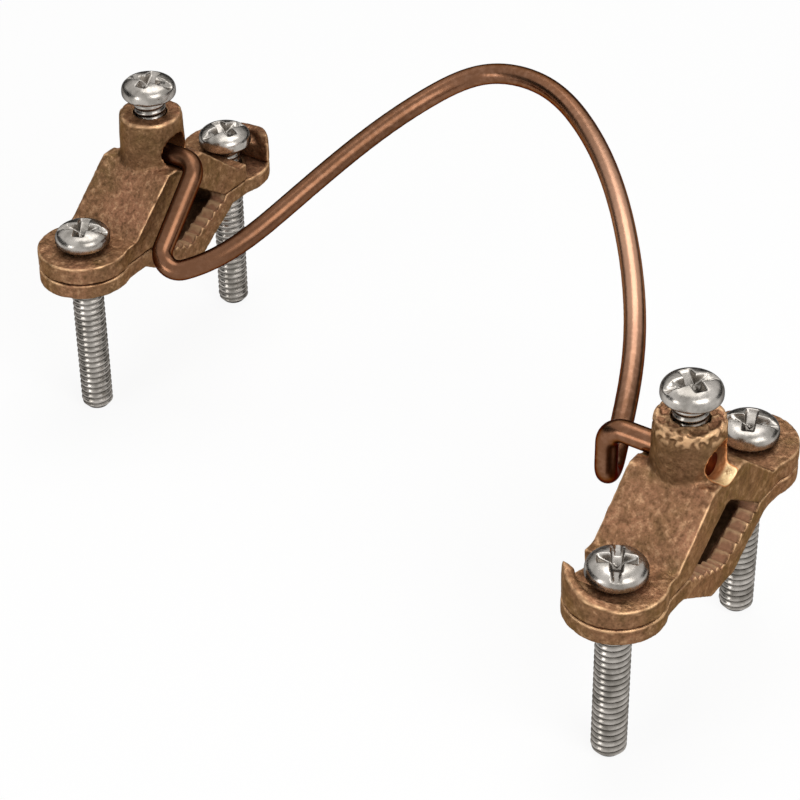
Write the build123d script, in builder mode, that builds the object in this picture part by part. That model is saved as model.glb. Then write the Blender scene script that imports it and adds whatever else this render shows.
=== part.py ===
# Water pipe bonding jumper: two bronze earthing pipe clamps joined by one formed copper wire.
# Each clamp has an upper jaw with a wire terminal boss, a toothed lower jaw, two long clamp
# screws and a short wire screw. All sizes in millimetres, +Z up, screw tips on z = 0.
# Every clamp is modelled once with its long axis on X and its pipe axis on Y, and is then
# placed twice, the second time turned by half a turn.
import os
from math import radians, sin, tan

from build123d import *

os.makedirs("parts", exist_ok=True)

# clamp screws, quarter inch by one and a half inch
screw_r = 3.175
screw_len = 38.1
screw_gap = 46.5
tip_chamfer = 0.9
running = 0.05
loose_r = 3.6

# screw heads, round with a slot and a cross recess
head_r = 5.4
head_rim = 1.7
head_h = 4.3
head_foot = 1.1
slot_w = 1.3
slot_depth = 1.1
cross_w = 1.5
cross_reach = 3.3
cross_depth = 2.4

# jaw castings, waisted between two round ears
ear_r = 9.2
jaw_w = 16.8
waist_round = 3.0
ear_t = 3.8
low_ear_t = 3.4

# upper jaw
ramp_foot = 17.0
ramp_round = 1.6
inner_round = 2.2
deck_half = 5.6
deck_h = 9.7
notch_half = 11.8
notch_h = 4.6
boss_low_r = 6.9
boss_top_r = 6.4
boss_root = 6.2
boss_top = 19.3
boss_round = 0.7

# lower jaw
mouth_half = 12.4
mouth_drop = 5.2
belly_foot = 14.6
belly_half = 4.0
belly_drop = 10.0
tooth_count = 6
tooth_depth = 1.2
tooth_band = 3.6
trough_extra = 0.6
trough_step = 0.6
root_depth = 1.5
belly_round = 1.6

# retaining lip on the slotted ear
lip_in_r = head_r + 1.4
lip_mid_h = 1.3
lip_slope = 0.24
lip_root = 1.0
lip_up = 5.0

# wire, bare solid copper
wire_r = 2.0575
hole_r = 3.5
hole_sunk = 1.0
wire_end_in = 4.5
bend_r = 3.6
wire_off = 0.9
leg_along = 18.0
leg_drop = 6.4
hook_out = 4.3
hook_drop = 5.1
arch_reach = 59.0
arch_rise = 24.7

# wire screw
wire_screw_len = 9.4
seat_clear = 0.01

# places of the two clamps and heights that follow from the sizes above
clamp_dx = 16.0
clamp_dy = 70.0
ear_z = screw_len
seam_z = ear_z - ear_t
deck_z = ear_z + deck_h
hole_z = deck_z + hole_r - hole_sunk
boss_top_z = ear_z + boss_top
wire_z = hole_z - hole_r + wire_r
wire_top_z = wire_z + wire_r
seat_z = wire_top_z + seat_clear
half_gap = screw_gap / 2
half_w = jaw_w / 2
end_x = half_gap + ear_r
low_z = seam_z - low_ear_t
belly_z = seam_z - belly_drop

# plan of both jaws
with BuildSketch(Plane.XY) as jaw_plan:
    Rectangle(screw_gap, jaw_w)
    with Locations((-half_gap, 0), (half_gap, 0)):
        Circle(ear_r)
    waist = jaw_plan.vertices().filter_by_position(Axis.X, -half_gap + 0.1, half_gap - 0.1)
    fillet(waist, waist_round)

# upper jaw: retaining lip first, then the casting with its terminal boss
with BuildPart() as retaining_lip:
    with BuildSketch(Plane.XY.offset(ear_z - lip_root)):
        with Locations((half_gap, 0)):
            Rectangle(2 * ear_r, 4 * ear_r, align=(Align.MIN, Align.CENTER))
            Circle(lip_in_r, mode=Mode.SUBTRACT)
    extrude(amount=lip_root + lip_up)
    # the crest rises evenly toward the open side of the slot
    with BuildSketch(Plane.YZ):
        Polygon(
            (-2 * ear_r, ear_z - 2 * lip_root),
            (2 * ear_r, ear_z - 2 * lip_root),
            (2 * ear_r, ear_z + lip_mid_h - 2 * ear_r * lip_slope),
            (-2 * ear_r, ear_z + lip_mid_h + 2 * ear_r * lip_slope),
            align=None,
        )
    extrude(amount=2 * end_x, mode=Mode.INTERSECT)

with BuildPart() as upper_jaw:
    with BuildSketch(Plane.XZ) as jaw_side:
        Polygon(
            (-end_x, seam_z),
            (-notch_half, seam_z),
            (0, ear_z + notch_h),
            (notch_half, seam_z),
            (end_x, seam_z),
            (end_x, ear_z),
            (ramp_foot, ear_z),
            (deck_half, deck_z),
            (-deck_half, deck_z),
            (-ramp_foot, ear_z),
            (-end_x, ear_z),
            align=None,
        )
        inner = jaw_side.vertices().filter_by_position(Axis.X, -1, 1)
        fillet(inner, inner_round)
        feet = jaw_side.vertices().filter_by_position(Axis.Z, ear_z - 0.1, ear_z + 0.1)
        feet = feet.filter_by_position(Axis.X, -ramp_foot - 0.1, ramp_foot + 0.1)
        fillet(feet, ramp_round)
    extrude(amount=ear_r, both=True)
    add(retaining_lip.part)
    # the rounded plan of the casting trims the jaw and the lip together
    extrude(jaw_plan.sketch, amount=2 * screw_len, mode=Mode.INTERSECT)
    with BuildSketch(Plane.XY.offset(ear_z + boss_root)):
        Circle(boss_low_r)
    with BuildSketch(Plane.XY.offset(boss_top_z)):
        Circle(boss_top_r)
    loft()
    fillet(upper_jaw.edges().group_by(Axis.Z)[-1], boss_round)
    # wire hole along the pipe axis and threaded bore for the wire screw
    with BuildSketch(Plane.XZ):
        with Locations((0, hole_z)):
            Circle(hole_r)
    extrude(amount=2 * ear_r, both=True, mode=Mode.SUBTRACT)
    with BuildSketch(Plane.XY.offset(hole_z)):
        Circle(screw_r + running)
    extrude(amount=boss_top, mode=Mode.SUBTRACT)
    # one closed screw hole and one slot open to the wire side
    with BuildSketch(Plane.XY):
        with Locations((-half_gap, 0), (half_gap, 0)):
            Circle(loose_r)
        with Locations((half_gap, 0)):
            Rectangle(2 * loose_r, 2 * ear_r, align=(Align.CENTER, Align.MAX))
    extrude(amount=2 * screw_len, mode=Mode.SUBTRACT)

# lower jaw: a trough between two rows of teeth, with a belly below
slope = mouth_drop / mouth_half
tooth_step = mouth_half / tooth_count
row = [(mouth_half, seam_z)]
for i in range(tooth_count):
    near = mouth_half - (i + 0.5) * tooth_step
    far = mouth_half - (i + 1) * tooth_step
    row.append((near, seam_z - (mouth_half - near) * slope - tooth_depth))
    row.append((far, seam_z - (mouth_half - far) * slope))
tooth_line = row + [(-x, z) for x, z in reversed(row[:-1])]
trough_drop = tooth_depth + trough_extra

with BuildPart() as tooth_rows:
    with BuildSketch(Plane.XZ.offset(half_w - tooth_band)):
        with BuildLine():
            Polyline(
                *tooth_line,
                (-mouth_half, seam_z - low_ear_t),
                (0, seam_z - mouth_drop - trough_drop - root_depth),
                (mouth_half, seam_z - low_ear_t),
                close=True,
            )
        make_face()
    extrude(amount=tooth_band)
    mirror(about=Plane.XZ)

with BuildPart() as lower_jaw:
    with BuildSketch(Plane.XZ) as low_side:
        Polygon(
            (-end_x, seam_z),
            (-mouth_half, seam_z),
            (-mouth_half + trough_step, seam_z - trough_drop),
            (0, seam_z - mouth_drop - trough_drop),
            (mouth_half - trough_step, seam_z - trough_drop),
            (mouth_half, seam_z),
            (end_x, seam_z),
            (end_x, low_z),
            (belly_foot, low_z),
            (belly_half, belly_z),
            (-belly_half, belly_z),
            (-belly_foot, low_z),
            (-end_x, low_z),
            align=None,
        )
        bottom = low_side.vertices().filter_by_position(Axis.Z, belly_z - 0.1, low_z + 0.1)
        bottom = bottom.filter_by_position(Axis.X, -belly_foot - 0.1, belly_foot + 0.1)
        fillet(bottom, belly_round)
    extrude(amount=ear_r, both=True)
    add(tooth_rows.part)
    extrude(jaw_plan.sketch, amount=2 * screw_len, mode=Mode.INTERSECT)
    with BuildSketch(Plane.XY):
        with Locations((-half_gap, 0), (half_gap, 0)):
            Circle(screw_r + running)
    extrude(amount=2 * screw_len, mode=Mode.SUBTRACT)

# screws: one head shape shared by the clamp screws and the wire screw
with BuildPart() as screw_head:
    with BuildSketch(Plane.XZ):
        with BuildLine():
            Line((0, 0), (head_r - head_foot, 0))
            Spline(
                (head_r - head_foot, 0),
                (head_r, head_rim),
                (head_r * 0.80, head_h * 0.82),
                (0, head_h),
                tangents=((1, 0.25), (-1, 0)),
            )
            Line((0, head_h), (0, 0))
        make_face()
    revolve(axis=Axis.Z)
    with BuildSketch(Plane.XY.offset(head_h - slot_depth)):
        Rectangle(slot_w, 3 * head_r)
    extrude(amount=head_h, mode=Mode.SUBTRACT)
    with BuildSketch(Plane.XY.offset(head_h)):
        Rectangle(cross_w, 2 * cross_reach)
        Rectangle(2 * cross_reach, cross_w)
    with BuildSketch(Plane.XY.offset(head_h - cross_depth)):
        Rectangle(cross_w * 0.7, cross_reach * 0.9)
        Rectangle(cross_reach * 0.9, cross_w * 0.7)
    loft(mode=Mode.SUBTRACT)

with BuildPart() as clamp_screw:
    with BuildSketch(Plane.XY):
        Circle(screw_r)
    extrude(amount=screw_len)
    chamfer(clamp_screw.edges().group_by(Axis.Z)[0], tip_chamfer)
    add(screw_head.part.moved(Location((0, 0, screw_len))))

with BuildPart() as wire_screw:
    with BuildSketch(Plane.XY.offset(seat_z)):
        Circle(screw_r)
    extrude(amount=wire_screw_len)
    chamfer(wire_screw.edges().group_by(Axis.Z)[0], tip_chamfer / 2)
    add(screw_head.part.moved(Location((0, 0, seat_z + wire_screw_len))))

# jumper wire: a short straight end in each boss, a hook at each clamp and one wide arch
left_at = Location((clamp_dx, clamp_dy, 0), (0, 0, 0))
right_at = Location((-clamp_dx, -clamp_dy, 0), (0, 0, 180))


def on_left(x, y, z):
    return Vector(clamp_dx + x, clamp_dy + y, z)


def on_right(x, y, z):
    return Vector(-clamp_dx - x, -clamp_dy - y, z)


def corner(before, at, after, radius):
    """Start, middle and end of the arc that rounds the corner at one point."""
    a = (before - at).normalized()
    b = (after - at).normalized()
    half = radians(a.get_angle(b)) / 2
    reach = radius / tan(half)
    middle = (a + b).normalized() * (radius / sin(half) - radius)
    return at + a * reach, at + middle, at + b * reach


def on_arch(x, y, z):
    """A point of the arch, given as shares of its reach, of the clamps' place and of its rise."""
    return Vector(x * arch_reach, y * clamp_dy, ear_z + z * arch_rise)


side_y = -half_w - wire_r - wire_off
left_run = [
    on_left(0, wire_end_in, wire_z),
    on_left(0, side_y, wire_z),
    on_left(-leg_along, side_y - wire_off, ear_z - leg_drop),
    on_arch(0.078, 0.700, -0.146),
]
right_run = [
    on_right(0, wire_end_in, wire_z),
    on_right(0, side_y - hook_out, wire_z),
    on_right(0, side_y - hook_out, ear_z - hook_drop),
    on_arch(-0.115, -0.740, 0.117),
]
arch = [
    on_arch(0.346, 0.580, 0.174),
    on_arch(0.856, 0.387, 0.753),
    on_arch(0.990, 0.269, 0.927),
    on_arch(1.000, 0.087, 1.000),
    on_arch(0.886, -0.114, 0.951),
    on_arch(0.532, -0.430, 0.692),
    on_arch(0.153, -0.646, 0.368),
]
l1 = corner(left_run[0], left_run[1], left_run[2], bend_r)
l2 = corner(left_run[1], left_run[2], left_run[3], bend_r)
r1 = corner(right_run[0], right_run[1], right_run[2], bend_r)
r2 = corner(right_run[1], right_run[2], right_run[3], bend_r)
left_out = (left_run[3] - left_run[2]).normalized()
right_in = (right_run[2] - right_run[3]).normalized()

with BuildPart() as jumper_wire:
    with BuildLine() as wire_path:
        Line(left_run[0], l1[0])
        ThreePointArc(*l1)
        Line(l1[2], l2[0])
        ThreePointArc(*l2)
        Spline(l2[2], *arch, r2[2], tangents=(left_out, right_in))
        ThreePointArc(*reversed(r2))
        Line(r2[0], r1[2])
        ThreePointArc(*reversed(r1))
        Line(r1[0], right_run[0])
    with BuildSketch(Plane(origin=left_run[0], x_dir=(1, 0, 0), z_dir=(0, -1, 0))):
        Circle(wire_r)
    sweep(path=wire_path.wires()[0])

# placing and export
pivot_at = Location((-half_gap, 0, 0))
slot_at = Location((half_gap, 0, 0))


def turned(part, angle):
    return Rot(0, 0, angle) * part


placed = {
    "left_upper_jaw": left_at * upper_jaw.part,
    "left_lower_jaw": left_at * lower_jaw.part,
    "left_pivot_screw": left_at * pivot_at * turned(clamp_screw.part, 25),
    "left_slot_screw": left_at * slot_at * turned(clamp_screw.part, 70),
    "left_wire_screw": left_at * turned(wire_screw.part, 10),
    "right_upper_jaw": right_at * upper_jaw.part,
    "right_lower_jaw": right_at * lower_jaw.part,
    "right_pivot_screw": right_at * pivot_at * turned(clamp_screw.part, 20),
    "right_slot_screw": right_at * slot_at * turned(clamp_screw.part, 118),
    "right_wire_screw": right_at * turned(wire_screw.part, 55),
    "jumper_wire": jumper_wire.part,
}
whole = Compound(children=[p.moved(Location()) for p in placed.values()]).bounding_box()
to_middle = Location((-(whole.min.X + whole.max.X) / 2, -(whole.min.Y + whole.max.Y) / 2, 0))
for name, part in placed.items():
    moved = part.moved(to_middle)
    moved.label = name
    export_step(moved, f"parts/{name}.step")
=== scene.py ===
import math

import bmesh
import bpy
import numpy as np
from mathutils import Matrix, Vector, noise


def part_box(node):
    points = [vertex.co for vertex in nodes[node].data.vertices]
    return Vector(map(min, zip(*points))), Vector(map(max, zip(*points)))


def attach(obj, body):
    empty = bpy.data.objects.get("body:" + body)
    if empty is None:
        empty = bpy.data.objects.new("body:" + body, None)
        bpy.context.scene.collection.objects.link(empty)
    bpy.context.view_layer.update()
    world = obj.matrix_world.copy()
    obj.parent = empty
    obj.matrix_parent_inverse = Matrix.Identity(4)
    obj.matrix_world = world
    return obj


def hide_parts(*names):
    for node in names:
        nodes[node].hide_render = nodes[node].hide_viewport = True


# Looks for a bonding jumper: two cast bronze pipe clamps, plated screws and one bare copper wire.
# All sizes are in metres, in the row frame of the CAD part.

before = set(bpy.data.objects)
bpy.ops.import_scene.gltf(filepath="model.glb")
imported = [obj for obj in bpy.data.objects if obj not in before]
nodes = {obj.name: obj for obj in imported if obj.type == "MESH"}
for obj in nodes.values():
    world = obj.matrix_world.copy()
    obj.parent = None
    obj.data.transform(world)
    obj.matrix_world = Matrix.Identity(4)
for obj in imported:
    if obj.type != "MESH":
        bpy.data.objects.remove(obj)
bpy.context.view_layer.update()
sides = ("left", "right")
mergeDistance = 2e-6
noiseBand = (0.35, 0.65)        # most of a noise lies between these values
print("frame loaded with", len(nodes), "nodes")


def screenColor(r, g, b):
    # screen values from 0 to 255, turned into the linear colour that shaders take
    out = []
    for v in (r / 255, g / 255, b / 255):
        out.append(v / 12.92 if v <= 0.04045 else ((v + 0.055) / 1.055) ** 2.4)
    return (*out, 1.0)


def mergedCopy(node, name):
    mesh = nodes[node].data.copy()
    mesh.name = name
    work = bmesh.new()
    work.from_mesh(mesh)
    bmesh.ops.remove_doubles(work, verts=work.verts, dist=mergeDistance)
    work.to_mesh(mesh)
    work.free()
    if "custom_normal" in mesh.attributes:
        mesh.attributes.remove(mesh.attributes["custom_normal"])
    mesh.materials.clear()
    piece = bpy.data.objects.new(name, mesh)
    bpy.context.scene.collection.objects.link(piece)
    return piece


def bakeModifiers(piece):
    bpy.context.view_layer.update()
    graph = bpy.context.evaluated_depsgraph_get()
    mesh = bpy.data.meshes.new_from_object(piece.evaluated_get(graph))
    old = piece.data
    piece.modifiers.clear()
    piece.data = mesh
    mesh.name = piece.name
    bpy.data.meshes.remove(old)
    return mesh


# material building blocks

def newMaterial(name):
    material = bpy.data.materials.new(name)
    material.use_nodes = True
    tree = material.node_tree
    return material, tree, tree.nodes["Principled BSDF"]


def objectPlace(tree):
    return tree.nodes.new("ShaderNodeTexCoord").outputs["Object"]


def addNoise(tree, settings):
    # the settings are its scale, detail and roughness
    node = tree.nodes.new("ShaderNodeTexNoise")
    for key, value in zip(("Scale", "Detail", "Roughness"), settings):
        node.inputs[key].default_value = value
    tree.links.new(objectPlace(tree), node.inputs["Vector"])
    return node.outputs["Fac"]


def mixColor(tree, amount, a, b):
    node = tree.nodes.new("ShaderNodeMix")
    node.data_type = "RGBA"
    node.clamp_factor = True
    for socket, value in ((node.inputs[0], amount), (node.inputs[6], a), (node.inputs[7], b)):
        if isinstance(value, tuple):
            socket.default_value = value
        else:
            tree.links.new(value, socket)
    return node.outputs[2]


def mapRange(tree, value, low, high, toLow, toHigh):
    node = tree.nodes.new("ShaderNodeMapRange")
    limits = {"From Min": low, "From Max": high, "To Min": toLow, "To Max": toHigh}
    for key, number in limits.items():
        node.inputs[key].default_value = number
    tree.links.new(value, node.inputs["Value"])
    return node.outputs["Result"]


def layered(tree, base, layers):
    # each layer covers a share of what lies under it, which grows while its value goes from low to high
    for value, low, high, share, color in layers:
        base = mixColor(tree, mapRange(tree, value, low, high, 0, share), base, color)
    return base


def readAttribute(tree, name):
    node = tree.nodes.new("ShaderNodeAttribute")
    node.attribute_name = name
    return node.outputs["Fac"]


def addBump(tree, height, settings, normal=None):
    # the settings are its distance and strength
    node = tree.nodes.new("ShaderNodeBump")
    for key, value in zip(("Distance", "Strength"), settings):
        node.inputs[key].default_value = value
    tree.links.new(height, node.inputs["Height"])
    if normal is not None:
        tree.links.new(normal, node.inputs["Normal"])
    return node.outputs["Normal"]


def math2(tree, operation, a, b=0.0):
    node = tree.nodes.new("ShaderNodeMath")
    node.operation = operation
    for socket, value in zip(node.inputs, (a, b)):
        if isinstance(value, (int, float)):
            socket.default_value = value
        else:
            tree.links.new(value, socket)
    return node.outputs[0]


# cast bronze

bronze = {
    "main": screenColor(146, 106, 79),
    "warm": screenColor(168, 120, 91),
    "olive": screenColor(128, 99, 66),
    # painted shade: darker colour for the steep sides of the castings
    "side": screenColor(106, 81, 53),
    "dark": screenColor(66, 46, 28),
    "fleck": screenColor(214, 170, 130),
    # worn metal colour; on the left clamp's teeth it is partly painted light
    "wearAndLight": screenColor(240, 196, 150),
    # painted shade: dark colour in corners, broad hollows and the mouths
    "hollowShade": screenColor(44, 30, 18),
    # machined metal in the wire hole, with a painted glow of light bounced inside it
    "cut": screenColor(206, 136, 84),
    # scraped metal at the hole's mouth, with a painted highlight
    "scrapeAndHighlight": screenColor(250, 222, 172),
    "tooth": screenColor(214, 160, 126),
    "edgeTint": (0.55, 0.43, 0.31, 1),
    "metallic": 0.86,
    "toothMetallic": 0.15,
    "rough": (0.34, 0.54),
    "patches": (95, 3, 0.55),
    "streaks": (430, 5, 0.6),
    "flecks": (760, 4, 0.62),
    "grain": (1700, 5, 0.7),
    "streakBump": (0.00034, 0.8),
    "grainBump": (0.00014, 0.8),
}


def bronzeMaterial():
    material, tree, shader = newMaterial("castBronze")
    patches = addNoise(tree, bronze["patches"])
    streaks = addNoise(tree, bronze["streaks"])
    flecks = addNoise(tree, bronze["flecks"])
    grain = addNoise(tree, bronze["grain"])
    fresh = readAttribute(tree, "fresh")
    boreMetalAndGlow = readAttribute(tree, "boreMetalAndGlow")
    base = layered(tree, bronze["olive"], (
        (patches, 0.38, 0.62, 1.0, bronze["warm"]),
        (streaks, *noiseBand, 0.7, bronze["main"]),
        (flecks, 0.52, 0.70, 0.7, bronze["fleck"]),
        (flecks, 0.47, 0.30, 0.6, bronze["dark"]),
        # painted shade on the steep sides
        (readAttribute(tree, "side"), 0.0, 1.0, 0.6, bronze["side"]),
        (grain, 0.54, 0.34, 0.5, bronze["dark"]),
        (fresh, 0.0, 1.0, 0.85, bronze["tooth"]),
        # painted shade in corners, broad hollows and the mouths
        (readAttribute(tree, "hollowShade"), 0.1, 1.0, 0.85, bronze["hollowShade"]),
        # wear on edges and teeth, with painted light on the left clamp's teeth
        (readAttribute(tree, "wearAndLight"), 0.15, 1.0, 0.9, bronze["wearAndLight"]),
        # machined metal round the wire hole with a painted glow, then scraped metal with a painted
        # highlight at its mouth
        (boreMetalAndGlow, 0.1, 0.3, 1.0, bronze["cut"]),
        (boreMetalAndGlow, 0.5, 0.85, 1.0, bronze["scrapeAndHighlight"]),
    ))
    tree.links.new(base, shader.inputs["Base Color"])
    rough = mapRange(tree, streaks, *noiseBand, *bronze["rough"])
    tree.links.new(rough, shader.inputs["Roughness"])
    metallic = mapRange(tree, fresh, 0, 1, bronze["metallic"], bronze["toothMetallic"])
    tree.links.new(metallic, shader.inputs["Metallic"])
    shader.inputs["Specular Tint"].default_value = bronze["edgeTint"]
    coarse = addBump(tree, streaks, bronze["streakBump"])
    fine = addBump(tree, grain, bronze["grainBump"], coarse)
    tree.links.new(fine, shader.inputs["Normal"])
    return material


# heights are above the ground, and other places are off the middle of a clamp
casting = {
    "voxel": 0.00028,
    "smoothTurns": 12,
    "smoothShare": 0.5,
    "broadTurns": 22,
    "noiseSteps": (3.1, 1.7, 2.3),      # how far each casting is moved on through the noise
    "earTop": 0.0381,
    "seamHeight": 0.0343,
    "seamGap": 0.0003,
    "deckHeight": 0.0455,
    "deckBlend": 0.002,
    "rimHeight": 0.0574,
    "rimBand": 0.0034,
    "holeHeight": 0.0503,
    "holeRadius": 0.0035,
    "boredReach": 0.0090,
    "mouthHalf": 0.0124,
    "toothInner": 0.0046,
    "earOverhang": 0.0008,      # the ears stand out by a little more than the jaw
    "sideInset": 0.0006,
    # more rounding on the retaining lip than on the rest
    "lipTurns": {"left": 60, "right": 20},
    "lipFoot": 0.0007,
    "lipBlend": 0.0006,
    "lipReach": 0.0035,
    # how deep and how wide each kind of roughness is
    "grainDepth": 0.00006,
    "grainSize": 0.0006,
    "lumpDepth": 0.00016,
    "lumpSize": 0.0042,
    "chipDepth": 0.00010,
    "chipSize": 0.0016,
    "chipEdge": 0.10,
    "chipContrast": 1.8,
    "crumbSize": 0.0009,
    "crumbShare": 0.55,
    "crumbContrast": 2.6,
    "rimChipDepth": 0.00042,
    "rimRagged": {"left": 0.25, "right": 1.0},
    # marks given as a pair: where the mark starts, and over how much more it comes to full
    "edgeWear": (0.02, 0.06),
    "facingUp": (-0.35, 0.5),
    "corner": (0.02, 0.08),
    "broadShade": (0.25, 1.1),
    "facingOut": (0.09375, 0.625),
    "boredEdge": (0.0002, 0.0003),
    "groove": (0.0058, 0.0008),
    "toothEdge": (0.01, 0.05),
    # how strong the marks are
    "edgeShare": 0.75,
    "chipWear": 0.9,
    "rimWear": 0.40,
    "rimContrast": 3.4,
    "rimMost": 0.9,
    "toothMost": 0.95,
    "broadShadeMost": 0.85,
    "mouthFacing": {"upper": -0.25, "lower": -0.2},
    # painted shade on the steep sides is weaker below the deck
    "sideShadeUnderDeck": 0.55,
    # machined metal round the wire holes with a painted glow; a painted highlight at the mouth on the
    # right clamp only
    "boredShare": {"left": 0.22, "right": 0.55},
    "grooveHighlightShare": {"left": 0.0, "right": 0.45},
    # painted shade inside the mouths, and the share of it lifted off the teeth
    "mouthShade": {"upper": 0.95, "lower": 0.85},
    "toothShadeLift": {"left": 0.9, "right": 0.4},
    # wear on the teeth, with extra painted light on the left clamp's teeth
    "toothWearAndLight": {"left": 0.75, "right": 0.25},
}


def vertexArrays(mesh):
    count = len(mesh.vertices)
    co = np.empty(count * 3, np.float32)
    mesh.vertices.foreach_get("co", co)
    normal = np.empty(count * 3, np.float32)
    mesh.vertex_normals.foreach_get("vector", normal)
    edges = np.empty(len(mesh.edges) * 2, np.int32)
    mesh.edges.foreach_get("vertices", edges)
    co, normal = co.reshape(-1, 3).astype(float), normal.reshape(-1, 3).astype(float)
    return co, normal, edges.reshape(-1, 2)


def storePlaces(mesh, co):
    mesh.vertices.foreach_set("co", co.astype(np.float32).ravel())
    mesh.update()


def storeValue(mesh, name, values):
    attribute = mesh.attributes.new(name, "FLOAT", "POINT")
    attribute.data.foreach_set("value", np.clip(values, 0, 1).astype(np.float32))


def neighbourSum(values, edges):
    a, b = edges[:, 0], edges[:, 1]
    total = np.bincount(a, weights=values[b], minlength=len(values))
    return total + np.bincount(b, weights=values[a], minlength=len(values))


def neighbourCount(edges, count):
    return np.bincount(edges.ravel(), minlength=count).astype(float)


def spread(values, edges, turns):
    # averages a value over each vertex and its neighbours
    degree = neighbourCount(edges, len(values)) + 1
    for _ in range(turns):
        values = (values + neighbourSum(values, edges)) / degree
    return values


def convexity(co, normal, edges):
    # positive on outer edges, negative in corners
    degree = np.maximum(neighbourCount(edges, len(co)), 1)
    middle = np.stack([neighbourSum(co[:, axis], edges) / degree for axis in range(3)], axis=1)
    return -np.einsum("ij,ij->i", middle - co, normal) / casting["voxel"]


def broadConvexity(co, normal, edges):
    # the same over a wider patch of skin
    turns = casting["broadTurns"]
    middle = np.stack([spread(co[:, axis], edges, turns) for axis in range(3)], axis=1)
    return np.einsum("ij,ij->i", co - middle, normal) / casting["voxel"]


def relax(co, edges, share, turns):
    # draws each vertex toward the middle of its neighbours, by its own share
    degree = np.maximum(neighbourCount(edges, len(co)), 1)
    for _ in range(turns):
        for axis in range(3):
            middle = neighbourSum(co[:, axis], edges) / degree
            co[:, axis] += share * casting["smoothShare"] * (middle - co[:, axis])
    return co


def rise(values, start, span):
    # nothing up to the start, full from one span further on
    return np.clip((values - start) / span, 0, 1)


def softCopy(node, name):
    piece = mergedCopy(node, name)
    remesh = piece.modifiers.new("skin", "REMESH")
    remesh.mode = "VOXEL"
    remesh.voxel_size = casting["voxel"]
    remesh.use_smooth_shade = True
    smooth = piece.modifiers.new("soften", "SMOOTH")
    smooth.factor = casting["smoothShare"]
    smooth.iterations = casting["smoothTurns"]
    bakeModifiers(piece)
    return piece


def roundLip(mesh, side, middle):
    co, normal, edges = vertexArrays(mesh)
    slotLow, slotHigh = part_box(f"{side}_slot_screw")
    slotPlace = (slotLow.x + slotHigh.x) / 2 - middle.x
    outward = 1 if slotPlace > 0 else -1
    share = rise(co[:, 2], casting["earTop"] + casting["lipFoot"], casting["lipBlend"])
    share *= (co[:, 0] - middle.x) * outward > abs(slotPlace) - casting["lipReach"]
    storePlaces(mesh, relax(co, edges, share, casting["lipTurns"][side]))


def upperMarks(side, co, normal, edges, low, high):
    middle = (low + high) / 2
    along, across = np.abs(co[:, 0] - middle.x), np.abs(co[:, 1] - middle.y)
    fromAxis = np.hypot(co[:, 0] - middle.x, co[:, 2] - casting["holeHeight"])
    # machined metal round the wire hole with a painted glow, and a painted highlight at its mouth
    boreMetalAndGlow = 1 - rise(fromAxis - casting["holeRadius"], *casting["boredEdge"])
    boreMetalAndGlow *= across < casting["boredReach"]
    inGroove = rise(across, *casting["groove"])
    boreMetalAndGlow *= casting["boredShare"][side] + casting["grooveHighlightShare"][side] * inGroove
    facesIn = normal[:, 2] < casting["mouthFacing"]["upper"]
    inMouth = (along < casting["mouthHalf"]) & facesIn
    # painted shade inside the upper jaw's mouth
    dark = spread(inMouth * casting["mouthShade"]["upper"], edges, 3)
    return boreMetalAndGlow, np.zeros(len(co), bool), dark


def lowerMarks(side, co, normal, edges, low, high):
    middle = (low + high) / 2
    along, across = np.abs(co[:, 0] - middle.x), np.abs(co[:, 1] - middle.y)
    halfWidth = (high.y - low.y) / 2 - casting["earOverhang"]
    facesIn = normal[:, 2] > casting["mouthFacing"]["lower"]
    inMouth = (along < casting["mouthHalf"]) & facesIn
    inMouth &= co[:, 2] < casting["seamHeight"] - casting["seamGap"]
    inMouth &= across < halfWidth - casting["sideInset"]
    onTeeth = inMouth & (across > casting["toothInner"])
    # painted shade in the lower jaw's mouth, away from the teeth
    dark = spread((inMouth & ~onTeeth) * casting["mouthShade"]["lower"], edges, 3)
    return np.zeros(len(co)), onTeeth, dark


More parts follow.
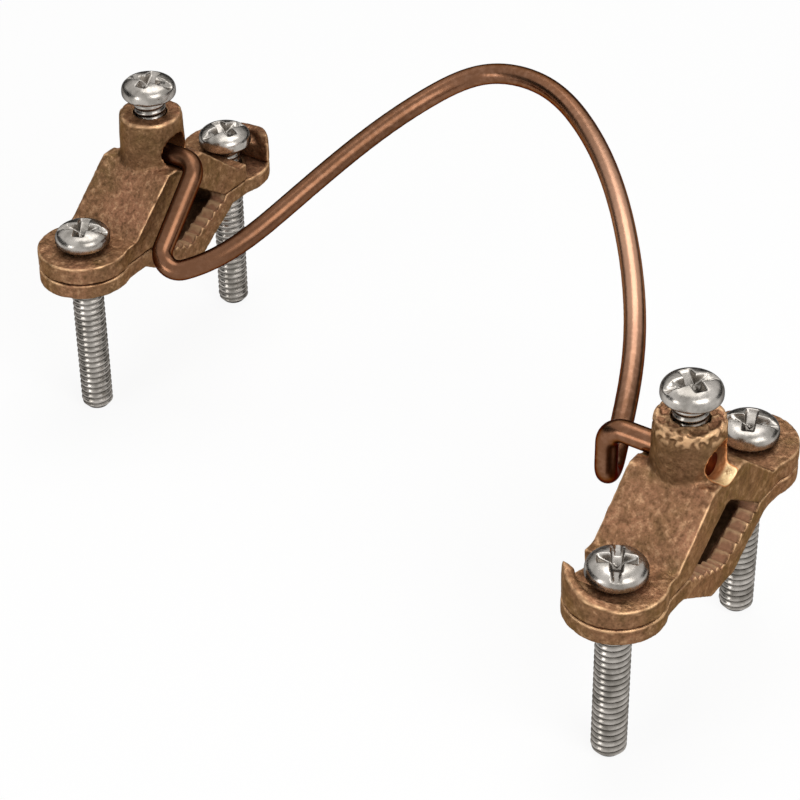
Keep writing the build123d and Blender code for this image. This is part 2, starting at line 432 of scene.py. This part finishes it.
def castSkin(side, part, seed, material):
    # a pitted skin round one casting; its wear, painted shade and painted light are kept on its points
    node = f"{side}_{part}_jaw"
    low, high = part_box(node)
    piece = softCopy(node, f"{side}_{part}Casting")
    mesh = piece.data
    if part == "upper":
        roundLip(mesh, side, (low + high) / 2)
    co, normal, edges = vertexArrays(mesh)
    bend = spread(convexity(co, normal, edges), edges, 2)
    broad = broadConvexity(co, normal, edges)

    shift = Vector([seed * step for step in casting["noiseSteps"]])

    def noiseOf(size):
        return np.array([noise.noise(Vector(point) / size + shift) for point in co])

    grain = noiseOf(casting["grainSize"])
    lumps = noiseOf(casting["lumpSize"])
    chips = noiseOf(casting["chipSize"])
    crumbs = noiseOf(casting["crumbSize"])
    broken = casting["crumbShare"] * crumbs + (1 - casting["crumbShare"]) * chips
    # the top of the boss is ragged, on the right clamp more than on the left
    rimFoot = casting["rimHeight"] - casting["rimBand"]
    ragged = rise(co[:, 2], rimFoot, casting["rimBand"] / 2)
    ragged *= casting["rimRagged"][side] * (part == "upper")
    depth = casting["grainDepth"] * (0.5 + 0.5 * grain)
    depth += casting["lumpDepth"] * (0.5 + 0.5 * lumps)
    chipped = casting["chipDepth"] * rise(bend, 0, casting["chipEdge"])
    depth += chipped * np.clip(chips * casting["chipContrast"], 0, 1)
    crumbled = casting["rimChipDepth"] * ragged
    depth += crumbled * np.clip(broken * casting["crumbContrast"], 0, 1)
    co = np.clip(co - normal * depth[:, None], np.array(low), np.array(high))
    storePlaces(mesh, co)

    marks = upperMarks if part == "upper" else lowerMarks
    boreMetalAndGlow, onTeeth, dark = marks(side, co, normal, edges, low, high)
    wearAndLight = rise(bend, *casting["edgeWear"]) * (casting["edgeShare"] + casting["chipWear"] * chips)
    wearAndLight *= rise(normal[:, 2], *casting["facingUp"])
    wornRim = casting["rimWear"] - broken * casting["rimContrast"]
    wearAndLight = np.maximum(wearAndLight, ragged * np.clip(wornRim, 0, casting["rimMost"]))
    # wear on the teeth, with extra painted light on the left clamp's teeth
    rubbed = (bend - casting["toothEdge"][0]) / casting["toothEdge"][1]
    rubbed += casting["toothWearAndLight"][side] + casting["chipWear"] * crumbs
    wearAndLight = np.maximum(wearAndLight, onTeeth * np.clip(rubbed, 0, casting["toothMost"]))
    # painted shade in corners, in broad hollows and in the mouth, mostly lifted off the teeth
    wide = np.minimum(rise(-broad, *casting["broadShade"]), casting["broadShadeMost"])
    hollowShade = np.maximum(rise(-bend, *casting["corner"]), wide)
    hollowShade = np.maximum(hollowShade, dark) * (1 - onTeeth * casting["toothShadeLift"][side])
    # painted shade: steep sides darker, less so below the deck
    under = casting["sideShadeUnderDeck"]
    olive = under + (1 - under) * rise(co[:, 2], casting["deckHeight"], casting["deckBlend"])

    storeValue(mesh, "side", (1 - rise(np.abs(normal[:, 2]), *casting["facingOut"])) * olive)
    storeValue(mesh, "boreMetalAndGlow", boreMetalAndGlow)
    storeValue(mesh, "fresh", spread(onTeeth.astype(float), edges, 2))
    storeValue(mesh, "wearAndLight", wearAndLight)
    storeValue(mesh, "hollowShade", hollowShade)
    mesh.materials.clear()
    mesh.materials.append(material)
    return piece


castMaterial = bronzeMaterial()
for seed, side in enumerate(sides):
    for part, body in (("upper", "frame"), ("lower", f"{side}_lower_jaw")):
        piece = castSkin(side, part, seed * 2 + (part == "lower"), castMaterial)
        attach(piece, body)
        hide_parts(f"{side}_{part}_jaw")
        print(piece.name, "has", len(piece.data.polygons), "faces")


# plated screws

plating = {
    "color": screenColor(190, 184, 177),
    "shade": screenColor(138, 133, 126),
    # painted shade in thread grooves and head recesses
    "grooveShade": screenColor(62, 57, 50),
    "edgeTint": (0.22, 0.22, 0.23, 1),
    "rough": (0.21, 0.34),
    "clouds": (330, 3, 0.55),
    "specks": (2400, 3, 0.6),
    "cloudBump": (0.00022, 0.35),
}

screw = {
    "radius": 0.003175,
    "pitch": 0.00127,
    "threadDepth": 0.00027,
    "threadSlope": 1.15,
    "crestFlat": 0.08,
    "runOut": 0.3,              # turns under the head without a thread
    "tip": 0.0011,
    "shortTip": 0.00055,
    "tipSlope": 0.85,
    "sideCount": 56,
    "ringsPerTurn": 10,
    "clampLength": 0.0381,
    "wireLength": 0.0094,
    "longOver": 0.02,           # a taller screw than this is one of the long clamp screws
    "intoHead": 0.0003,
    "sharpAngle": 62,
    "headSides": 112,
    "headRings": 48,
    "domePower": 2.7,           # a power of 2 would be an ellipse
    "underPower": 3.0,
    "crossTaper": 0.72,
    # how deep a head recess is where its painted shade is full
    "recessShadeDepth": 0.0024,
    # sizes that the head's tree takes by these names
    "head": {
        "Radius": 0.00543,
        "Height": 0.0043,
        "Rim Height": 0.0016,
        "Slot Width": 0.0014,
        "Slot Depth": 0.0014,
        "Cross Width": 0.0020,
        "Cross Reach": 0.0033,
        "Cross Depth": 0.0025,
        "Soft Edge": 0.00045,
    },
    # degrees that each slot is turned from across the clamps
    "turns": {
        "left_pivot": 25, "left_slot": 70, "left_wire": 10,
        "right_pivot": 200, "right_slot": 298, "right_wire": 235,
    },
}


def platedMaterial():
    material, tree, shader = newMaterial("platedSteel")
    clouds = addNoise(tree, plating["clouds"])
    specks = addNoise(tree, plating["specks"])
    base = layered(tree, plating["shade"], (
        (clouds, *noiseBand, 1.0, plating["color"]),
        # painted shade in thread grooves and head recesses
        (readAttribute(tree, "groove"), 0.25, 1.0, 0.6, plating["grooveShade"]),
    ))
    tree.links.new(base, shader.inputs["Base Color"])
    shader.inputs["Metallic"].default_value = 1.0
    shader.inputs["Specular Tint"].default_value = plating["edgeTint"]
    rough = mapRange(tree, specks, *noiseBand, *plating["rough"])
    tree.links.new(rough, shader.inputs["Roughness"])
    tree.links.new(addBump(tree, clouds, plating["cloudBump"]), shader.inputs["Normal"])
    return material


def newTree(name, floats, wholes):
    # a tree with inputs of these names, and one more for the material
    tree = bpy.data.node_groups.new(name, "GeometryNodeTree")
    tree.interface.new_socket(name="Geometry", in_out="OUTPUT", socket_type="NodeSocketGeometry")
    for kind, values in (("NodeSocketFloat", floats), ("NodeSocketInt", wholes)):
        for key, value in values.items():
            socket = tree.interface.new_socket(name=key, in_out="INPUT", socket_type=kind)
            socket.default_value = value
    tree.interface.new_socket(name="Material", in_out="INPUT", socket_type="NodeSocketMaterial")
    return tree, tree.nodes.new("NodeGroupInput").outputs


def splitPlace(tree):
    split = tree.nodes.new("ShaderNodeSeparateXYZ")
    tree.links.new(tree.nodes.new("GeometryNodeInputPosition").outputs[0], split.inputs[0])
    return split.outputs


def shapeAndFinish(tree, geometry, groove, place, material):
    # keeps how deep each point will lie in a groove, for the painted shade there, and then moves the
    # points
    keep = tree.nodes.new("GeometryNodeStoreNamedAttribute")
    keep.data_type = "FLOAT"
    keep.domain = "POINT"
    keep.inputs["Name"].default_value = "groove"
    tree.links.new(geometry, keep.inputs["Geometry"])
    tree.links.new(groove, keep.inputs["Value"])
    join = tree.nodes.new("ShaderNodeCombineXYZ")
    for socket, value in zip(join.inputs, place):
        tree.links.new(value, socket)
    push = tree.nodes.new("GeometryNodeSetPosition")
    tree.links.new(keep.outputs[0], push.inputs["Geometry"])
    tree.links.new(join.outputs[0], push.inputs["Position"])
    real = tree.nodes.new("GeometryNodeRealizeInstances")
    tree.links.new(push.outputs[0], real.inputs[0])
    paint = tree.nodes.new("GeometryNodeSetMaterial")
    tree.links.new(real.outputs[0], paint.inputs["Geometry"])
    tree.links.new(material, paint.inputs["Material"])
    out = tree.nodes.new("NodeGroupOutput")
    tree.links.new(paint.outputs[0], out.inputs[0])


def ringCount(length):
    return int(length / screw["pitch"] * screw["ringsPerTurn"])


def threadTree():
    # a plain rod whose skin is pushed in along a helix, with a tapered tip at the bottom
    tree, given = newTree("screwThread", {
        "Radius": screw["radius"],
        "Length": screw["clampLength"],
        "Pitch": screw["pitch"],
        "Thread Depth": screw["threadDepth"],
        "Tip": screw["tip"],
    }, {"Sides": screw["sideCount"], "Rings": ringCount(screw["clampLength"])})

    def m(operation, *values):
        return math2(tree, operation, *values)

    def zeroToOne(value):
        return m("MINIMUM", m("MAXIMUM", value, 0.0), 1.0)

    rod = tree.nodes.new("GeometryNodeMeshCylinder")
    rod.fill_type = "TRIANGLE_FAN"
    tree.links.new(given["Sides"], rod.inputs["Vertices"])
    tree.links.new(given["Rings"], rod.inputs["Side Segments"])
    tree.links.new(given["Radius"], rod.inputs["Radius"])
    tree.links.new(given["Length"], rod.inputs["Depth"])
    x, y, z = splitPlace(tree)
    height = m("ADD", z, m("MULTIPLY", given["Length"], 0.5))
    angle = m("DIVIDE", m("ARCTAN2", y, x), 2 * math.pi)
    phase = m("FRACT", m("SUBTRACT", m("DIVIDE", height, given["Pitch"]), angle))
    # one at the bottom of the thread, nothing on its crest
    valley = m("SUBTRACT", 1.0, m("MULTIPLY", m("ABSOLUTE", m("SUBTRACT", phase, 0.5)), 2.0))
    valley = m("SUBTRACT", m("MULTIPLY", valley, screw["threadSlope"]), screw["crestFlat"])
    fromTop = m("DIVIDE", m("SUBTRACT", given["Length"], height), given["Pitch"])
    fade = zeroToOne(m("SUBTRACT", fromTop, screw["runOut"]))
    groove = m("MULTIPLY", zeroToOne(valley), fade)
    cut = m("MULTIPLY", groove, given["Thread Depth"])
    taper = m("MAXIMUM", m("SUBTRACT", given["Tip"], height), 0.0)
    narrow = m("MAXIMUM", cut, m("MULTIPLY", taper, screw["tipSlope"]))
    factor = m("SUBTRACT", 1.0, m("DIVIDE", narrow, given["Radius"]))
    place = (m("MULTIPLY", x, factor), m("MULTIPLY", y, factor), z)
    shapeAndFinish(tree, rod.outputs["Mesh"], groove, place, given["Material"])
    return tree


def headTree():
    # a disc of rings bent into a full round head, with a slot and a cross pressed into its top
    wholes = {"Sides": screw["headSides"], "Rings": screw["headRings"]}
    tree, given = newTree("screwHead", {**screw["head"], "Turn": 0.0}, wholes)

    def m(operation, *values):
        return math2(tree, operation, *values)

    def bulge(outward, power):
        # one in the middle, nothing at the rim
        left = m("SUBTRACT", 1.0, m("POWER", m("MINIMUM", outward, 1.0), power))
        return m("POWER", left, 1 / power)

    def within(value, limit):
        share = m("DIVIDE", m("SUBTRACT", limit, value), given["Soft Edge"])
        share = m("MINIMUM", m("MAXIMUM", m("ADD", share, 0.5), 0.0), 1.0)
        steep = m("SUBTRACT", 3.0, m("MULTIPLY", share, 2.0))
        return m("MULTIPLY", m("MULTIPLY", share, share), steep)

    def pressed(surface, floor, share):
        drop = m("MAXIMUM", m("SUBTRACT", surface, floor), 0.0)
        return m("SUBTRACT", surface, m("MULTIPLY", drop, share))

    disc = tree.nodes.new("GeometryNodeMeshCylinder")
    disc.fill_type = "TRIANGLE_FAN"
    tree.links.new(given["Sides"], disc.inputs["Vertices"])
    tree.links.new(given["Rings"], disc.inputs["Fill Segments"])
    disc.inputs["Side Segments"].default_value = 1
    disc.inputs["Radius"].default_value = 1.0
    disc.inputs["Depth"].default_value = 1.0
    x, y, z = splitPlace(tree)
    ring = m("SQRT", m("ADD", m("MULTIPLY", x, x), m("MULTIPLY", y, y)))
    grow = m("SINE", m("MULTIPLY", m("MINIMUM", ring, 1.0), math.pi / 2))
    widen = m("MULTIPLY", m("DIVIDE", grow, m("MAXIMUM", ring, 0.0001)), given["Radius"])
    px = m("MULTIPLY", x, widen)
    py = m("MULTIPLY", y, widen)
    crown = m("SUBTRACT", given["Height"], given["Rim Height"])
    dome = m("MULTIPLY", crown, bulge(grow, screw["domePower"]))
    top = m("ADD", given["Rim Height"], dome)
    cup = m("SUBTRACT", 1.0, bulge(grow, screw["underPower"]))
    under = m("MULTIPLY", given["Rim Height"], cup)
    cosine, sine = m("COSINE", given["Turn"]), m("SINE", given["Turn"])
    u = m("ABSOLUTE", m("ADD", m("MULTIPLY", px, cosine), m("MULTIPLY", py, sine)))
    v = m("ABSOLUTE", m("SUBTRACT", m("MULTIPLY", py, cosine), m("MULTIPLY", px, sine)))

    slotFloor = m("SUBTRACT", given["Height"], given["Slot Depth"])
    inSlot = within(u, m("MULTIPLY", given["Slot Width"], 0.5))
    cut = pressed(top, slotFloor, inSlot)
    for across, along in ((u, v), (v, u)):
        taper = m("MULTIPLY", m("DIVIDE", along, given["Cross Reach"]), screw["crossTaper"])
        deep = m("MULTIPLY", given["Cross Depth"], m("SUBTRACT", 1.0, taper))
        floor = m("SUBTRACT", given["Height"], deep)
        inArm = within(across, m("MULTIPLY", given["Cross Width"], 0.5))
        inCross = m("MULTIPLY", inArm, within(along, given["Cross Reach"]))
        cut = m("MINIMUM", cut, pressed(top, floor, inCross))
    isTop = m("GREATER_THAN", z, 0.0)
    isUnder = m("SUBTRACT", 1.0, isTop)
    height = m("ADD", m("MULTIPLY", cut, isTop), m("MULTIPLY", under, isUnder))
    # painted shade grows with how deep the point is pressed into the slot or cross
    sunk = m("DIVIDE", m("SUBTRACT", top, cut), screw["recessShadeDepth"])
    groove = m("MINIMUM", m("MULTIPLY", sunk, isTop), 1.0)
    shapeAndFinish(tree, disc.outputs["Mesh"], groove, (px, py, height), given["Material"])
    return tree


def setInput(modifier, name, value):
    for item in modifier.node_group.interface.items_tree:
        if item.name == name and item.in_out == "INPUT":
            modifier[item.identifier] = value


def grown(name, tree, values, place):
    # one plain mesh made by a tree, moved to its place
    holder = bpy.data.objects.new(name, bpy.data.meshes.new(name))
    bpy.context.scene.collection.objects.link(holder)
    modifier = holder.modifiers.new("tree", "NODES")
    modifier.node_group = tree
    for key, value in values.items():
        setInput(modifier, key, value)
    mesh = bakeModifiers(holder)
    mesh.transform(Matrix.Translation(place))
    bpy.data.objects.remove(holder)
    return mesh


def threadedScrew(node, name, turn, material):
    low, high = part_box(node)
    middle = (low + high) / 2
    isLong = high.z - low.z > screw["longOver"]
    headBase = low.z + (screw["clampLength"] if isLong else screw["wireLength"])
    length = headBase - low.z + screw["intoHead"]
    rod = grown(name + "Rod", rodTree, {
        "Length": length,
        "Rings": ringCount(length),
        "Tip": screw["tip"] if isLong else screw["shortTip"],
        "Material": material,
    }, (middle.x, middle.y, low.z + length / 2))
    head = grown(name + "Head", domeTree, {
        "Turn": math.radians(turn),
        "Material": material,
    }, (middle.x, middle.y, headBase))
    work = bmesh.new()
    work.from_mesh(head)
    work.from_mesh(rod)
    mesh = bpy.data.meshes.new(name)
    work.to_mesh(mesh)
    work.free()
    piece = bpy.data.objects.new(name, mesh)
    bpy.context.scene.collection.objects.link(piece)
    mesh.materials.append(material)
    mesh.shade_smooth()
    mesh.set_sharp_from_angle(angle=math.radians(screw["sharpAngle"]))
    for part in (head, rod):
        bpy.data.meshes.remove(part)
    return piece


plateMaterial = platedMaterial()
rodTree = threadTree()
domeTree = headTree()
for side in sides:
    for part in ("pivot", "slot", "wire"):
        node = f"{side}_{part}_screw"
        turn = screw["turns"][f"{side}_{part}"]
        piece = threadedScrew(node, f"{side}_{part}Screw", turn, plateMaterial)
        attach(piece, node)
        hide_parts(node)
        print(piece.name, "has", len(piece.data.polygons), "faces")


# copper wire

copper = {
    "main": screenColor(140, 98, 73),
    "deep": screenColor(103, 71, 51),
    # pale copper of the drawn lines, and the colour of the painted highlight
    "paleAndHighlight": screenColor(213, 167, 139),
    "edgeTint": (0.20, 0.14, 0.11, 1),
    "rough": (0.34, 0.24),
    "clouds": (45, 4, 0.55),
    "lines": (900, 3, 0.6),
    "lineBump": (0.00002, 0.4),
    # y of the two places between which each change grows
    "darkeningPlaces": (-0.004, 0.045),
    "darkeningShares": (0.05, 0.7),
    # painted highlight down the right of the arch
    "highlightPlaces": (-0.002, -0.028),
    "highlightEnd": (-0.052, -0.040),
    "highlightShare": 0.6,
    # painted shade on the right hook
    "hookShadePlaces": (-0.046, -0.056),
    "hookShadeShare": 0.45,
    "sharpAngle": 50,
}


def copperMaterial():
    # darker toward the left clamp, a painted highlight down the right of the arch, painted shade at the
    # right hook
    material, tree, shader = newMaterial("bareCopper")
    clouds = addNoise(tree, copper["clouds"])
    lines = addNoise(tree, copper["lines"])
    split = tree.nodes.new("ShaderNodeSeparateXYZ")
    tree.links.new(objectPlace(tree), split.inputs[0])
    y = split.outputs["Y"]
    base = layered(tree, copper["deep"], (
        (clouds, 0.38, 0.62, 1.0, copper["main"]),
        (lines, 0.45, 0.75, 0.25, copper["paleAndHighlight"]),
    ))
    # darker toward the left clamp
    darkening = mapRange(tree, y, *copper["darkeningPlaces"], *copper["darkeningShares"])
    base = mixColor(tree, darkening, base, copper["deep"])
    # painted highlight down the right of the arch, ending above the hook
    paintedHighlight = math2(tree, "MULTIPLY",
                  mapRange(tree, y, *copper["highlightPlaces"], 0, copper["highlightShare"]),
                  mapRange(tree, y, *copper["highlightEnd"], 0, 1))
    base = mixColor(tree, paintedHighlight, base, copper["paleAndHighlight"])
    # painted shade on the right hook
    hook = mapRange(tree, y, *copper["hookShadePlaces"], 0, copper["hookShadeShare"])
    base = mixColor(tree, hook, base, copper["deep"])
    tree.links.new(base, shader.inputs["Base Color"])
    shader.inputs["Metallic"].default_value = 1.0
    shader.inputs["Specular Tint"].default_value = copper["edgeTint"]
    rough = mapRange(tree, clouds, *noiseBand, *copper["rough"])
    tree.links.new(rough, shader.inputs["Roughness"])
    tree.links.new(addBump(tree, lines, copper["lineBump"]), shader.inputs["Normal"])
    return material


wire = mergedCopy("jumper_wire", "copperWire")
wire.data.materials.append(copperMaterial())
wire.data.shade_smooth()
wire.data.set_sharp_from_angle(angle=math.radians(copper["sharpAngle"]))
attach(wire, "frame")
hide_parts("jumper_wire")
print("wire has", len(wire.data.polygons), "faces")


# floor, world and lamps

studio = {
    "floorHalf": 3.0,
    "floorDrop": 0.0002,
    "floorColor": (0.90, 0.90, 0.89, 1),
    "floorGlow": 0.86,
    "glowStrength": 1.04,
    "worldLight": 0.24,
    "worldSeen": 0.93,
    "middle": (0, 0, 0.045),
}

# places are given as seen by the camera: to its right, away from it, and up
lamps = {
    "keyLamp": {"place": (0.34, -0.50, 0.52), "size": (0.50, 0.50), "power": 2.6},
    "sideLamp": {"place": (-0.50, -0.36, 0.13), "size": (0.24, 0.26), "power": 0.8},
    "topLamp": {"place": (0.05, 0.20, 0.75), "size": (0.50, 0.50), "power": 2.0},
}

flags = {
    "backFlag": {"place": (0, 0.55, 0.12), "size": (1.8, 0.30), "shade": 0.02},
    "leftFlag": {"place": (-0.50, 0.0, 0.14), "size": (0.6, 0.32), "shade": 0.02},
    "rightFlag": {"place": (0.55, 0.15, 0.12), "size": (0.5, 0.28), "shade": 0.03},
}

cameraSettings = {
    "place": (-0.34846, -0.2343, 0.3196),
    "forward": (0.6713, 0.4596, -0.5815),
    "up": (0.4874, 0.3174, 0.8135),
    "lens": 120.4,
    "sensor": 36.0,
    "nearest": 0.01,
}
forward = Vector(cameraSettings["forward"]).normalized()
right = forward.cross(Vector(cameraSettings["up"])).normalized()
up = right.cross(forward).normalized()


def seenRays(tree):
    # one where the camera, a reflection or a view through looks, else nothing
    path = tree.nodes.new("ShaderNodeLightPath")
    both = math2(tree, "MAXIMUM", path.outputs["Is Camera Ray"], path.outputs["Is Glossy Ray"])
    return math2(tree, "MAXIMUM", both, path.outputs["Is Transmission Ray"])


def mixShaders(tree, amount, a, b, outputKind):
    mix = tree.nodes.new("ShaderNodeMixShader")
    tree.links.new(amount, mix.inputs[0])
    tree.links.new(a.outputs[0], mix.inputs[1])
    tree.links.new(b.outputs[0], mix.inputs[2])
    out = tree.nodes.new(outputKind)
    tree.links.new(mix.outputs[0], out.inputs[0])


def addCard(name, w, h, place):
    # one flat rectangle of half width w and half height h, and the empty tree of its material
    mesh = bpy.data.meshes.new(name)
    mesh.from_pydata([(-w, -h, 0), (w, -h, 0), (w, h, 0), (-w, h, 0)], [], [(0, 1, 2, 3)])
    mesh.transform(place)
    piece = bpy.data.objects.new(name, mesh)
    bpy.context.scene.collection.objects.link(piece)
    material = bpy.data.materials.new(name)
    material.use_nodes = True
    material.node_tree.nodes.clear()
    mesh.materials.append(material)
    return piece, material.node_tree


def buildFloor():
    half = studio["floorHalf"]
    place = Matrix.Translation((0, 0, -studio["floorDrop"]))
    floor, tree = addCard("floor", half, half, place)
    matt = tree.nodes.new("ShaderNodeBsdfDiffuse")
    matt.inputs["Color"].default_value = studio["floorColor"]
    glow = tree.nodes.new("ShaderNodeEmission")
    glow.inputs["Strength"].default_value = studio["glowStrength"]
    amount = math2(tree, "MULTIPLY", seenRays(tree), studio["floorGlow"])
    mixShaders(tree, amount, matt, glow, "ShaderNodeOutputMaterial")


def buildWorld():
    world = bpy.data.worlds.new("studio")
    bpy.context.scene.world = world
    world.use_nodes = True
    tree = world.node_tree
    tree.nodes.clear()
    backgrounds = []
    for strength in (studio["worldLight"], studio["worldSeen"]):
        background = tree.nodes.new("ShaderNodeBackground")
        background.inputs["Color"].default_value = (1, 1, 1, 1)
        background.inputs["Strength"].default_value = strength
        backgrounds.append(background)
    mixShaders(tree, seenRays(tree), *backgrounds, "ShaderNodeOutputWorld")


def fromView(place):
    toRight, away, height = place
    flatForward = Vector((forward.x, forward.y, 0)).normalized()
    flatRight = Vector((right.x, right.y, 0)).normalized()
    return Vector((0, 0, height)) + flatRight * toRight + flatForward * away


def aimed(place):
    return (Vector(studio["middle"]) - place).to_track_quat("-Z", "Y")


def addLamp(name, settings):
    place = fromView(settings["place"])
    lamp = bpy.data.lights.new(name, "AREA")
    lamp.shape = "RECTANGLE"
    lamp.size, lamp.size_y = settings["size"]
    lamp.energy = settings["power"]
    holder = bpy.data.objects.new(name, lamp)
    bpy.context.scene.collection.objects.link(holder)
    holder.location = place
    holder.rotation_mode = "QUATERNION"
    holder.rotation_quaternion = aimed(place)


def addFlag(name, settings):
    # a dark studio card that only reflections see
    place = fromView(settings["place"])
    width, height = settings["size"]
    turned = Matrix.Translation(place) @ aimed(place).to_matrix().to_4x4()
    flag, tree = addCard(name, width / 2, height / 2, turned)
    plain = tree.nodes.new("ShaderNodeEmission")
    plain.inputs["Color"].default_value = (*[settings["shade"]] * 3, 1)
    out = tree.nodes.new("ShaderNodeOutputMaterial")
    tree.links.new(plain.outputs[0], out.inputs[0])
    flag.visible_camera = False
    flag.visible_diffuse = False
    flag.visible_shadow = False
    flag.visible_transmission = False


buildFloor()
buildWorld()
for name, settings in lamps.items():
    addLamp(name, settings)
for name, settings in flags.items():
    addFlag(name, settings)

lens = bpy.data.cameras.new("camera")
lens.lens = cameraSettings["lens"]
lens.sensor_width = cameraSettings["sensor"]
lens.clip_start = cameraSettings["nearest"]
camera = bpy.data.objects.new("camera", lens)
bpy.context.scene.collection.objects.link(camera)
camera.rotation_mode = "QUATERNION"
camera.rotation_quaternion = Matrix((right, up, -forward)).transposed().to_quaternion()
camera.location = cameraSettings["place"]
bpy.context.scene.camera = camera
bpy.context.scene.view_settings.view_transform = "Standard"
print("studio and camera ready")
